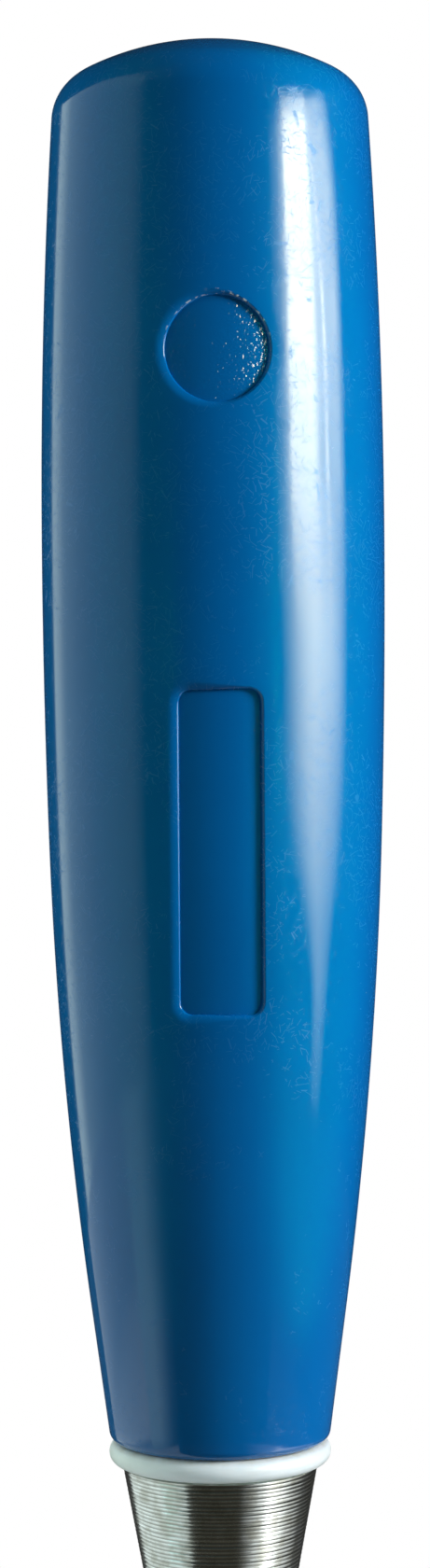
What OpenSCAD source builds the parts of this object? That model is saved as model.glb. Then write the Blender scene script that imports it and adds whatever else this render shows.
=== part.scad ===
// Bevel edge chisel: a moulded handle on a forged blade, with a shock washer and a turned bolster between them.
// Millimetres. The cutting edge is at z = 0, +Z runs along the tool to its head, and the front faces -Y.

/* [Handle] */
// Length from the foot to the crown of the head
handle_len = 130; // [120:1:142]
// Diameter at the belly, the widest place
belly_d = 32; // [29:0.5:36]
// Height of the belly above the foot
belly_h = 84.5; // [78:0.5:92]
// Radius of the long arc from the belly up to the head
shoulder_arc_r = 620; // [450:10:900]
// Radius of the long arc from the belly down to the waist
belly_arc_r = 875; // [600:5:1200]
// Length along the axis of the arc from the belly down to the waist
belly_arc_run = 29.5; // [20:0.5:34]
// Radius of the arc between the belly's lower arc and the tapered foot
waist_arc_r = 422; // [300:2:500]
// Half angle of the tapered foot in degrees
foot_taper = 7.7; // [6.5:0.1:8.5]
// Radius of the rounded corner at the foot
foot_corner_r = 1; // [0.5:0.1:1.5]
// Radius of the rounded corner between the barrel and the crown
head_corner_r = 4.6; // [3:0.1:6]
// Radius of the domed crown
crown_r = 26.3; // [22:0.1:40]

/* [Recesses] */
// Diameter of the round recess on the front
disc_d = 9.6; // [7:0.1:12]
// Height of the round recess's middle above the foot
disc_h = 99.6; // [94:0.2:108]
// Width of the plate recess on the front
plate_w = 7.6; // [5:0.1:10]
// Length of the plate recess along the axis
plate_len = 29; // [20:0.5:36]
// Height of the plate recess's middle above the foot
plate_h = 55; // [45:0.5:65]
// Corner radius of the plate recess
plate_corner_r = 1.2; // [0.5:0.1:2.4]
// Depth of both recesses below the handle's surface
recess_depth = 0.5; // [0.2:0.1:1]

/* [Washer] */
// Thickness of the shock washer
washer_t = 2.1; // [1.5:0.1:3]
// How far the washer's round edge stands out past the handle's foot
washer_lip = 0.13; // [0:0.01:0.5]
// Radial clearance between the washer and the shank
washer_clear = 0.15; // [0.05:0.05:0.4]

/* [Bolster] */
// Length of the conical bolster
bolster_len = 19; // [14:0.5:25]
// Diameter of the bolster at its lower end
bolster_end_d = 11.2; // [10.6:0.1:13]
// How far the bolster's top edge lies inside the flat of the washer
bolster_setback = 0.15; // [0.05:0.05:0.6]
// Chamfer on the bolster's two edges
bolster_chamfer = 0.25; // [0.1:0.05:0.6]
// Radial clearance between the bolster and the shank
bolster_clear = 0.05; // [0.02:0.01:0.1]

/* [Blade] */
// Length from the cutting edge to the bolster's seat
blade_len = 112; // [95:1:150]
// Width of the blade
blade_w = 18; // [15:0.5:26]
// Thickness at the cutting end
tip_t = 3.2; // [2.6:0.1:3.8]
// Thickness at the shoulders
root_t = 4.4; // [4:0.1:5.5]
// Height of the square lands along the two sides
land_h = 1.3; // [0.6:0.1:2]
// Angle of the two side bevels to the back in degrees
side_bevel = 35; // [30:1:50]
// Angle of the ground cutting bevel to the back in degrees
grind_angle = 25; // [22:0.5:29]
// Angle of the honed edge to the back in degrees
hone_angle = 30; // [30:0.5:35]
// Height of the honed edge along the blade
hone_h = 0.8; // [0.3:0.1:1.5]

/* [Neck] */
// Length from the shoulders to the bolster's seat
neck_len = 26; // [22:0.5:32]
// Radius of the neck at the shoulders
neck_low_r = 4.7; // [4.2:0.1:5.4]
// How far the neck's top edge lies inside the bolster's lower end
neck_step = 0.3; // [0.1:0.05:0.6]
// Radius of the hollows that thin the neck down to the plate
neck_hollow_r = 34; // [24:1:48]
// Radius of the hollow shoulders of the plate
shoulder_r = 11; // [8:0.5:14]

/* [Tang] */
// Diameter of the round shank through the bolster and the washer
shank_d = 8; // [7:0.1:8.6]
// Length of the shank inside the handle
shank_grip = 12; // [6:0.5:20]
// Length of the square tang above the shank
tang_len = 60; // [45:1:75]
// Width of the square tang at its tip
tang_tip_w = 3.6; // [2.5:0.1:4.5]
// How far the corners of the tang's root lie inside the shank
tang_relief = 0.05; // [0.02:0.01:0.2]
// Clearance between the tang and its socket
socket_clear = 0.1; // [0.05:0.05:0.3]
// Empty depth of the socket past the tip of the tang
socket_spare = 0.8; // [0.3:0.1:2]

/* [Hidden] */
$fn = 96;
// Longest straight step along the handle's outline, and the widest turn of one step in degrees
arc_step = 2;
arc_turn = 6;
// Overshoot of cutting shapes past the face that they cut
over = 1;
// How far pieces of one forging reach into each other
sink = 0.4;

// Heights of the seats along the tool
bolster_z = blade_len;
washer_z = bolster_z + bolster_len;
foot_z = washer_z + washer_t;

// Middles of the handle's arcs, as radius and height above the foot, and the turns where each arc meets the next
belly_r = belly_d / 2;
belly_a = asin(belly_arc_run / belly_arc_r);
belly_mid = [belly_r - belly_arc_r, belly_h];
waist_mid = belly_mid + (belly_arc_r - waist_arc_r) * [cos(belly_a), -sin(belly_a)];
waist_end = waist_mid + waist_arc_r * [cos(foot_taper), -sin(foot_taper)];
foot_r = waist_end.x - waist_end.y * tan(foot_taper);
foot_mid = [foot_r + foot_corner_r * (tan(foot_taper) - 1 / cos(foot_taper)), foot_corner_r];
shoulder_mid = [belly_r - shoulder_arc_r, belly_h];
crown_mid = [0, handle_len - crown_r];
corner_mid = circles_meet(shoulder_mid, shoulder_arc_r - head_corner_r, crown_mid, crown_r - head_corner_r);
shoulder_a = turn(corner_mid - shoulder_mid);
crown_a = turn(corner_mid - crown_mid);

// Arcs of the handle's outline from its foot to its crown: middle, radius, first turn, last turn
HANDLE_ARCS = [
    [foot_mid, foot_corner_r, -90, -foot_taper],
    [waist_mid, waist_arc_r, -foot_taper, -belly_a],
    [belly_mid, belly_arc_r, -belly_a, 0],
    [shoulder_mid, shoulder_arc_r, 0, shoulder_a],
    [corner_mid, head_corner_r, shoulder_a, crown_a],
    [crown_mid, crown_r, crown_a, 90],
];

// Washer and bolster
shank_r = shank_d / 2;
washer_r = foot_r + washer_lip;
washer_flat_r = washer_r - washer_t / 2;
bolster_top_r = washer_flat_r - bolster_setback;
bolster_end_r = bolster_end_d / 2;

// Blade and neck
back_y = root_t / 2;
shoulder_z = blade_len - neck_len;
taper = (root_t - tip_t) / shoulder_z;
grind_z = (tip_t - hone_h * (tan(hone_angle) - tan(grind_angle))) / (tan(grind_angle) - taper);
neck_top_r = bolster_end_r - neck_step;
tongue_half = sqrt(pow(neck_low_r - sink, 2) - pow(back_y, 2));
tongue_z = shoulder_z + sqrt(pow(shoulder_r, 2) - pow(tongue_half + shoulder_r - blade_w / 2, 2));
bevel_run = (root_t + over) / tan(side_bevel);

// Tang
tang_root_w = (shank_r - tang_relief) * sqrt(2);
tang_z = foot_z + shank_grip;

// Turn of a vector from the radius axis in degrees
function turn(v) = atan2(v.y, v.x);

// Upper crossing of two circles with middles a and b and radii ra and rb
function circles_meet(a, ra, b, rb) =
    let (d = norm(b - a), e = (b - a) / d, s = (d * d + ra * ra - rb * rb) / (2 * d))
    a + s * e + sqrt(ra * ra - s * s) * [-e.y, e.x];

// Points along one arc of an outline, without its last point
function arc_points(mid, r, first, last) =
    let (steps = ceil(max(r * (last - first) * PI / 180 / arc_step, (last - first) / arc_turn)))
    [for (i = [0:steps - 1]) let (a = first + (last - first) * i / steps) mid + r * [cos(a), sin(a)]];

// Points of a flat bar that narrows from width w0 to w1 over a length
function trapezoid(w0, w1, len) = [[-w0 / 2, 0], [w0 / 2, 0], [w1 / 2, len], [-w1 / 2, len]];

// Half outline of the handle, moved inwards by inset
module handle_outline(inset = 0) {
    side = [for (arc = HANDLE_ARCS) each arc_points(arc[0], arc[1] - inset, arc[2], arc[3])];
    polygon([[0, inset], each side, [0, handle_len - inset]]);
}

// Outline of the plate recess
module plate_outline() {
    inner = [plate_w - 2 * plate_corner_r, plate_len - 2 * plate_corner_r];
    square([inner.x, plate_len], center = true);
    square([plate_w, inner.y], center = true);
    for (sx = [-1, 1], sy = [-1, 1]) {
        translate([sx * inner.x / 2, sy * inner.y / 2]) circle(r = plate_corner_r);
    }
}

// Cutter for a recess whose floor follows the handle's surface, with its outline as the child
module recess(height) {
    difference() {
        translate([0, -belly_r / 2, height]) rotate([90, 0, 0]) linear_extrude(belly_r) children();
        rotate_extrude() handle_outline(recess_depth);
    }
}

// Square bar that tapers along +Z
module taper_bar(w0, w1, len) {
    intersection() {
        rotate([90, 0, 0]) linear_extrude(2 * w0, center = true) polygon(trapezoid(w0, w1, len));
        rotate([90, 0, 90]) linear_extrude(2 * w0, center = true) polygon(trapezoid(w0, w1, len));
    }
}

// Hole in the handle for the shank and the tang
module socket() {
    translate([0, 0, -over]) cylinder(r = shank_r + socket_clear, h = shank_grip + socket_clear + over);
    translate([0, 0, shank_grip]) {
        taper_bar(tang_root_w + 2 * socket_clear, tang_tip_w + 2 * socket_clear, tang_len + socket_spare);
    }
}

module handle() {
    color("#0b4f8e") translate([0, 0, foot_z]) {
        difference() {
            rotate_extrude() handle_outline();
            socket();
            recess(disc_h) circle(d = disc_d);
            recess(plate_h) plate_outline();
        }
    }
}

module shock_washer() {
    bore_r = shank_r + washer_clear;
    color("#e2e8e4") translate([0, 0, washer_z]) rotate_extrude() {
        translate([bore_r, 0]) square([washer_flat_r - bore_r, washer_t]);
        intersection() {
            translate([washer_flat_r, washer_t / 2]) circle(d = washer_t);
            translate([washer_flat_r, 0]) square(washer_t);
        }
    }
}

module bolster() {
    bore_r = shank_r + bolster_clear;
    cone = (bolster_top_r - bolster_end_r) / bolster_len;
    low_r = bolster_end_r + cone * bolster_chamfer;
    high_r = bolster_top_r - cone * bolster_chamfer;
    color("#a9adac") translate([0, 0, bolster_z]) rotate_extrude() {
        polygon([[bore_r, 0], [bolster_end_r - bolster_chamfer, 0], [low_r, bolster_chamfer],
            [high_r, bolster_len - bolster_chamfer], [bolster_top_r - bolster_chamfer, bolster_len],
            [bore_r, bolster_len]]);
    }
}

// Bar of full width 2 * wide whose two sides are hollowed by arcs, down to half width thin at height 0
module hollow_bar(thin, wide, low, high, r) {
    difference() {
        translate([-wide, low]) square([2 * wide, high - low]);
        for (side = [-1, 1]) translate([side * (thin + r), 0]) circle(r = r);
    }
}

// Front outline of the blade's plate: parallel sides, then hollow shoulders that run in to the neck
module plate_front() {
    half = blade_w / 2;
    translate([0, tongue_z]) hollow_bar(tongue_half, half, -tongue_z - over, 0, shoulder_r);
}

// Side outline of the blade's plate: flat back, honed edge, ground bevel and tapered front
module plate_side() {
    top = tongue_z + over;
    hone_y = back_y - hone_h * tan(hone_angle);
    polygon([[back_y, 0], [hone_y, hone_h], [hone_y - (grind_z - hone_h) * tan(grind_angle), grind_z],
        [-back_y, shoulder_z], [-back_y, top], [back_y, top]]);
}

// Wedge that grinds one side bevel off the plate
module bevel_cut() {
    edge = [blade_w / 2 + over, back_y - land_h + over * tan(side_bevel)];
    low = edge.y - (bevel_run + over) * tan(side_bevel);
    translate([0, 0, -over]) linear_extrude(blade_len) {
        polygon([edge, [edge.x - bevel_run - over, low], [edge.x, low]]);
    }
}

module blade_plate() {
    difference() {
        intersection() {
            rotate([90, 0, 0]) linear_extrude(2 * root_t, center = true) plate_front();
            rotate([90, 0, 90]) linear_extrude(blade_w + 2 * over, center = true) plate_side();
        }
        bevel_cut();
        mirror([1, 0, 0]) bevel_cut();
    }
}

// Conical neck, hollowed at front and back down to the plate's thickness
module neck() {
    intersection() {
        rotate_extrude() polygon([[0, 0], [neck_low_r, 0], [neck_top_r, neck_len], [0, neck_len]]);
        rotate([90, 0, 90]) linear_extrude(4 * neck_top_r, center = true) {
            hollow_bar(back_y - sink, neck_top_r + sink, 0, neck_len, neck_hollow_r);
        }
    }
}

module blade() {
    color("#b7babc") {
        blade_plate();
        translate([0, 0, shoulder_z]) neck();
        translate([0, 0, bolster_z - sink]) cylinder(r = shank_r, h = tang_z - bolster_z + sink);
        translate([0, 0, tang_z]) taper_bar(tang_root_w, tang_tip_w, tang_len);
    }
}

handle();
shock_washer();
bolster();
blade();
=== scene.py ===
"""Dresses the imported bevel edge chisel: moulded handle, shock washer, turned bolster and forged blade.

Lengths are millimetres in the frame of the CAD part: the cutting edge is at z = 0, the head at +Z and the
front at -Y.
"""

import logging
import math
import random
from collections.abc import Callable, Iterable, Sequence
from dataclasses import dataclass, field
from enum import Enum
from typing import Any

import bmesh
import bpy
from mathutils import Matrix, Vector, noise


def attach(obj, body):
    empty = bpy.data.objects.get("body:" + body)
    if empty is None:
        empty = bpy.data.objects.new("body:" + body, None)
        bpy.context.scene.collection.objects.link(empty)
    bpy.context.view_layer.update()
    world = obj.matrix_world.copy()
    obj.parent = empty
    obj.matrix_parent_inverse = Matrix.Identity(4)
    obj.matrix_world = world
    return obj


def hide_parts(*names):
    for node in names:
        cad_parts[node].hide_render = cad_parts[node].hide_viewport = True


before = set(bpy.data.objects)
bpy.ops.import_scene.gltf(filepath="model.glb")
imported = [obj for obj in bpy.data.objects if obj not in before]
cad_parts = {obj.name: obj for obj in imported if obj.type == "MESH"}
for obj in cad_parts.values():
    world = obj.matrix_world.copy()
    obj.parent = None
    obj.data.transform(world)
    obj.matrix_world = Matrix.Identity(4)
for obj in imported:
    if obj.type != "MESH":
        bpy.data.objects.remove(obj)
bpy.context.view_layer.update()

MM = 0.001
BODY = "root"
LOG = logging.getLogger("bevel_edge_chisel")
FLOOR_MARK = "recess_floor"
RIM_MARK = "recess_rim"
GROOVE_MARK = "groove_floor"
# The stack on the shank: the height of the neck's top and the lengths of what is threaded on above it
NECK_TOP = 112.0
BOLSTER_LEN = 19.0
WASHER_T = 2.1

Point = tuple[float, float, float]
Flat = tuple[float, float]
Colour = tuple[float, float, float, float]
Tree = bpy.types.NodeTree
Socket = bpy.types.NodeSocket
Paint = Callable[[Tree, Socket], bpy.types.Node]


def linear(shade: str) -> Colour:
    """Turns an sRGB hex colour into a linear one.

    Args:
        shade: Six hex digits after a hash sign.

    Returns:
        Linear red, green, blue and an alpha of 1.
    """
    parts = [int(shade[i : i + 2], 16) / 255 for i in (1, 3, 5)]
    red, green, blue = [c / 12.92 if c <= 0.04045 else ((c + 0.055) / 1.055) ** 2.4 for c in parts]
    return red, green, blue, 1.0


def per_metre(size: float) -> float:
    """Gives the texture scale at which one feature is this many millimetres across."""
    return 1 / (size * MM)


def smooth(low: float, high: float, value: float) -> float:
    """Rises smoothly from 0 at low to 1 at high."""
    t = min(1.0, max(0.0, (value - low) / (high - low)))
    return t * t * (3 - 2 * t)


def spread(low: float, high: float, parts: int) -> list[float]:
    """Gives evenly spaced values from low to high, both included."""
    return [low + (high - low) * i / parts for i in range(parts + 1)]


def new_tree(owner: bpy.types.Material | bpy.types.World) -> Tree:
    """Gives a material or a world an empty node tree.

    Args:
        owner: The material or the world.

    Returns:
        The tree.
    """
    owner.use_nodes = True
    owner.node_tree.nodes.clear()
    return owner.node_tree


def add_node(
    tree: Tree, kind: str, inputs: dict[str | int, Any] | None = None, **settings: Any
) -> bpy.types.Node:
    """Adds a node to a tree.

    Args:
        tree: The node tree of a material or the world.
        kind: The node's type, without the ShaderNode that starts it.
        inputs: For each input, a constant, the socket that feeds it, or a node whose first output feeds it.
        **settings: Values of the node's own properties.

    Returns:
        The new node.
    """
    node = tree.nodes.new("ShaderNode" + kind)
    for name, value in settings.items():
        setattr(node, name, value)
    for name, value in (inputs or {}).items():
        if isinstance(value, bpy.types.Node):
            value = next(socket for socket in value.outputs if socket.enabled)
        if isinstance(value, bpy.types.NodeSocket):
            tree.links.new(value, node.inputs[name])
        else:
            node.inputs[name].default_value = value
    return node


class Skin:
    """A mesh that is put together from rings of points, in millimetres."""

    def __init__(self) -> None:
        """Starts an empty skin."""
        self.points: list[Point] = []
        self.faces: list[tuple[int, ...]] = []
        self.zones: list[int] = []
        self.marks: dict[str, dict[int, float]] = {}

    def add(self, points: Iterable[Point]) -> list[int]:
        """Adds points.

        Args:
            points: Their places.

        Returns:
            Their numbers in the skin.
        """
        first = len(self.points)
        self.points.extend(points)
        return list(range(first, len(self.points)))

    def mark(self, name: str, points: Iterable[int], values: Iterable[float]) -> None:
        """Sets the value of a mesh attribute, which a finish reads, at some points."""
        self.marks.setdefault(name, {}).update(zip(points, values))

    def face(self, corners: Sequence[int], zone: int = 0) -> None:
        """Adds one face, leaving out corners that repeat.

        Args:
            corners: The numbers of its points.
            zone: Its finish.
        """
        kept = tuple(dict.fromkeys(corners))
        if len(kept) > 2:
            self.faces.append(kept)
            self.zones.append(zone)

    def bridge(self, low: Sequence[int], high: Sequence[int], zone: int | Sequence[int] = 0) -> None:
        """Joins two closed rings of as many points with a band of quads.

        Args:
            low: The first ring.
            high: The second ring.
            zone: The finish of the band, or one for each quad.
        """
        count = len(low)
        for i in range(count):
            k = (i + 1) % count
            self.face((low[i], low[k], high[k], high[i]), zone if isinstance(zone, int) else zone[i])

    def grow(self, ring: Sequence[int], points: Iterable[Point], zone: int | Sequence[int] = 0) -> list[int]:
        """Adds a ring of points and joins it to the last one.

        Args:
            ring: The numbers of the last ring's points.
            points: The new ring.
            zone: The finish of the band between them, or one for each quad.

        Returns:
            The numbers of the new ring's points.
        """
        new = self.add(points)
        self.bridge(ring, new, zone)
        return new

    def close(self, ring: Sequence[int], tip: Point, zone: int = 0) -> None:
        """Closes a ring with a fan of triangles to one point.

        Args:
            ring: The numbers of the ring's points.
            tip: The point.
            zone: The finish of the fan.
        """
        top = self.add([tip])[0]
        for i, corner in enumerate(ring):
            self.face((corner, ring[(i + 1) % len(ring)], top), zone)

    def make(self, name: str, finishes: Sequence[bpy.types.Material], sharp: float) -> bpy.types.Object:
        """Makes the Blender object.

        Args:
            name: The piece's name.
            finishes: Materials, in the order of the zones.
            sharp: Edges that turn more than this many degrees stay sharp.

        Returns:
            The piece, linked to the scene.
        """
        mesh = bpy.data.meshes.new(name)
        mesh.from_pydata([tuple(c * MM for c in p) for p in self.points], [], self.faces)
        for finish in finishes:
            mesh.materials.append(finish)
        mesh.polygons.foreach_set("material_index", self.zones)
        shape = bmesh.new()
        shape.from_mesh(mesh)
        bmesh.ops.recalc_face_normals(shape, faces=shape.faces)
        shape.to_mesh(mesh)
        shape.free()
        for mark, values in self.marks.items():
            layer = mesh.attributes.new(mark, "FLOAT", "POINT")
            layer.data.foreach_set("value", [values.get(i, 0.0) for i in range(len(self.points))])
        mesh.polygons.foreach_set("use_smooth", [True] * len(mesh.polygons))
        mesh.set_sharp_from_angle(angle=math.radians(sharp))
        piece = bpy.data.objects.new(name, mesh)
        bpy.context.scene.collection.objects.link(piece)
        return piece


def circle(radius: float, height: float, count: int, first: float = -90.0) -> list[Point]:
    """Gives points round a level circle on the axis.

    Args:
        radius: Its radius.
        height: Its height.
        count: How many points.
        first: Turn of the first point from +X in degrees.

    Returns:
        The points, anticlockwise from above.
    """
    turns = [math.radians(first + 360 * i / count) for i in range(count)]
    return [(radius * math.cos(t), radius * math.sin(t), height) for t in turns]


def square(half: float, height: float, count: int, first: float = -90.0) -> list[Point]:
    """Gives points round a level square on the axis, at the same turns as a circle's.

    Args:
        half: Half its width.
        height: Its height.
        count: How many points, a multiple of 8 so that some fall on the corners.
        first: Turn of the first point from +X in degrees.

    Returns:
        The points, anticlockwise from above.
    """
    unit = circle(1.0, height, count, first)
    return [(x * half / max(abs(x), abs(y)), y * half / max(abs(x), abs(y)), z) for x, y, z in unit]


@dataclass(frozen=True)
class Finish:
    """What every finish has: a material with one Principled shader."""

    name: str

    def start(self) -> tuple[bpy.types.Material, Tree, Socket]:
        """Starts a material.

        Returns:
            The material, its empty node tree and a socket with places in metres.
        """
        material = bpy.data.materials.new(self.name)
        tree = new_tree(material)
        return material, tree, add_node(tree, "TexCoord").outputs["Object"]

    @staticmethod
    def end(tree: Tree, inputs: dict[str, Any]) -> None:
        """Adds the shader, with these inputs, and the output."""
        add_node(tree, "OutputMaterial", {"Surface": add_node(tree, "BsdfPrincipled", inputs)})


@dataclass(frozen=True)
class MouldedAcetate(Finish):
    """Cellulose acetate, injection moulded in a polished mould and worn by the hand.

    The eye sees a deep blue body under a mirror gloss, with pale dust, a haze of fine scuffs round each
    highlight, and pale specks along the upper rim of the round recess that are partly wear and partly a
    painted glint.
    """

    name: str = "moulded_blue_cellulose_acetate"
    body: str = "#006FBA"
    deep: str = "#0066B0"
    dust: str = "#7FB2D6"
    rim_wear_glint: str = "#DCEAF5"
    ior: float = 1.48
    gloss: float = 0.06
    scuffed: float = 0.33
    haze_most: float = 0.3
    cloud_mm: float = 14.0
    patch_mm: float = 9.0
    blotch_mm: float = 1.1
    scuff_mm: float = 0.22
    scratch_mm: tuple[float, ...] = (1.1, 0.55)
    scratch_w_mm: float = 0.085
    clean_z: float = 150.0
    worn_z: float = 190.0
    clean_drop: float = 0.2
    dust_mm: float = 5.0
    dust_r_mm: float = 0.11
    rim_wear_glint_mm: float = 0.45
    peel_mm: float = 3.2
    peel_depth_mm: float = 0.004
    grain_mm: float = 0.25
    grain_depth_mm: float = 0.108
    grain_gloss: float = 0.03

    def scratches(self, tree: Tree, place: Socket, size: float) -> bpy.types.Node:
        """Draws one straight scratch through each cell of a random pattern, each at its own slant.

        Args:
            tree: The material's tree.
            place: A socket with places in metres.
            size: Width of a cell in millimetres, and so about the length of a scratch.

        Returns:
            A node that gives 1 on a scratch and 0 between them.
        """
        cells = add_node(tree, "TexVoronoi", {"Vector": place, "Scale": per_metre(size)}).outputs
        away = add_node(tree, "VectorMath", {0: place, 1: cells["Position"]}, operation="SUBTRACT")
        slant = add_node(tree, "VectorMath", {0: cells["Color"], 1: (0.5, 0.5, 0.5)}, operation="SUBTRACT")
        slant = add_node(tree, "VectorMath", {0: slant}, operation="NORMALIZE")
        side = add_node(tree, "VectorMath", {0: away, 1: slant}, operation="DOT_PRODUCT")
        off = add_node(tree, "Math", {0: side}, operation="ABSOLUTE")
        half = self.scratch_w_mm * MM / 2
        return add_node(
            tree,
            "MapRange",
            {"Value": off, "From Min": half / 2, "From Max": half, "To Min": 1.0, "To Max": 0.0},
        )

    def wear(self, tree: Tree, place: Socket, patch: bpy.types.Node, scuff: bpy.types.Node) -> bpy.types.Node:
        """Draws fine scuffs and short scratches, more of them in worn patches and fewer towards the foot.

        Args:
            tree: The material's tree.
            place: A socket with places in metres.
            patch: How worn the gloss is from patch to patch.
            scuff: The pattern of the scuffs.

        Returns:
            A node that gives how far the gloss is worn away, from 0 to 1.
        """
        gripped = add_node(
            tree,
            "MapRange",
            {
                "Value": add_node(tree, "SeparateXYZ", {"Vector": place}).outputs["Z"],
                "From Min": self.clean_z * MM,
                "From Max": self.worn_z * MM,
                "To Min": -self.clean_drop,
                "To Max": 0.0,
            },
            interpolation_type="SMOOTHSTEP",
        )
        worn = add_node(tree, "Math", {0: patch, 1: gripped}, operation="ADD")
        # Scuffs finer than a pixel draw a haze round each highlight
        cover, share = (
            add_node(
                tree,
                "MapRange",
                {"Value": worn, "From Min": start, "From Max": stop, "To Min": least, "To Max": most},
                interpolation_type="SMOOTHSTEP",
            )
            for start, stop, least, most in ((0.85, 1.15, -0.18, 0.02), (0.8, 1.1, 0.15, 1.0))
        )
        raised = add_node(tree, "Math", {0: scuff, 1: cover}, operation="ADD")
        haze = add_node(
            tree,
            "MapRange",
            {"Value": raised, "From Min": 0.46, "From Max": 0.56, "To Max": self.haze_most},
            interpolation_type="SMOOTHSTEP",
        )
        # Short scratches in all directions, drawn wider than real ones so that they show
        crossed = {i: self.scratches(tree, place, size) for i, size in enumerate(self.scratch_mm)}
        scored = add_node(tree, "Math", crossed, operation="MAXIMUM")
        scored = add_node(tree, "Math", {0: scored, 1: share}, operation="MULTIPLY")
        return add_node(tree, "Math", {0: haze, 1: scored}, operation="MAXIMUM")

    def colour(self, tree: Tree, place: Socket, cloud: bpy.types.Node, rim_wear_glint: bpy.types.Node) -> bpy.types.Node:
        """Mixes the blue with specks of dust and with pale specks on the round recess's upper rim, partly
        wear and partly a painted glint.

        Args:
            tree: The material's tree.
            place: A socket with places in metres.
            cloud: The pattern of the deeper blue.
            rim_wear_glint: The pattern of the pale specks on the rim, worn places that also stand in for a
                painted glint.

        Returns:
            A node that gives the colour.
        """
        # Dust and nicks: one small pale dot in some of the cells, coarser than real dust so that it shows
        cells = add_node(tree, "TexVoronoi", {"Vector": place, "Scale": per_metre(self.dust_mm)}).outputs
        pick = add_node(tree, "SeparateColor", {"Color": cells["Color"]})
        reach = add_node(
            tree, "MapRange", {"Value": pick, "From Min": 0.45, "To Max": self.dust_r_mm / self.dust_mm}
        )
        dot = add_node(tree, "Math", {0: cells["Distance"], 1: reach}, operation="LESS_THAN")
        # Pale specks along the round recess's upper rim: partly wear, partly a painted glint
        rim = add_node(tree, "Attribute", attribute_name=RIM_MARK).outputs["Fac"]
        bare = add_node(
            tree,
            "MapRange",
            {"Value": rim_wear_glint, "From Min": 0.5, "From Max": 0.62},
            interpolation_type="SMOOTHSTEP",
        )
        worn_glint = add_node(tree, "Math", {0: bare, 1: rim}, operation="MULTIPLY")
        mixed: Any = linear(self.body)
        for share, shade in ((cloud, self.deep), (dot, self.dust), (worn_glint, self.rim_wear_glint)):
            mixed = add_node(tree, "Mix", {"Factor": share, "A": mixed, "B": linear(shade)}, data_type="RGBA")
        return mixed

    def make(self) -> bpy.types.Material:
        """Draws the finish.

        Returns:
            The material.
        """
        material, tree, place = self.start()
        cloud, patch, blotch, scuff, rim_wear_glint, peel, grain = (
            add_node(tree, "TexNoise", {"Vector": place, "Scale": per_metre(size), "Detail": detail})
            for size, detail in (
                (self.cloud_mm, 3.0),
                (self.patch_mm, 2.0),
                (self.blotch_mm, 4.0),
                (self.scuff_mm, 3.0),
                (self.rim_wear_glint_mm, 3.0),
                (self.peel_mm, 1.0),
                (self.grain_mm, 0.0),
            )
        )
        floor = add_node(tree, "Attribute", attribute_name=FLOOR_MARK).outputs["Fac"]
        patchy = add_node(tree, "Math", {0: patch, 1: blotch}, operation="ADD")
        reached = add_node(tree, "Math", {0: 1.0, 1: floor}, operation="SUBTRACT")
        worn = self.wear(tree, place, patchy, scuff)
        worn = add_node(tree, "Math", {0: worn, 1: reached}, operation="MULTIPLY")
        rough = add_node(tree, "MapRange", {"Value": worn, "To Min": self.gloss, "To Max": self.scuffed})
        # The polished mould leaves a faint peel, and the recess floors a pebbled grain, drawn coarser here
        wavy = add_node(
            tree, "Bump", {"Height": peel, "Strength": 0.25, "Distance": self.peel_depth_mm * MM}
        )
        pebbled = add_node(
            tree,
            "Bump",
            {"Height": grain, "Strength": floor, "Distance": self.grain_depth_mm * MM, "Normal": wavy},
        )
        # Light that sinks into the plastic hides the grain in the body colour, so only the clear skin has it
        self.end(
            tree,
            {
                "Base Color": self.colour(tree, place, cloud, rim_wear_glint),
                "Roughness": rough,
                "IOR": self.ior,
                "Coat Weight": floor,
                "Coat Roughness": self.grain_gloss,
                "Coat IOR": self.ior,
                "Coat Normal": pebbled,
                "Normal": wavy,
            },
        )
        return material


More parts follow.
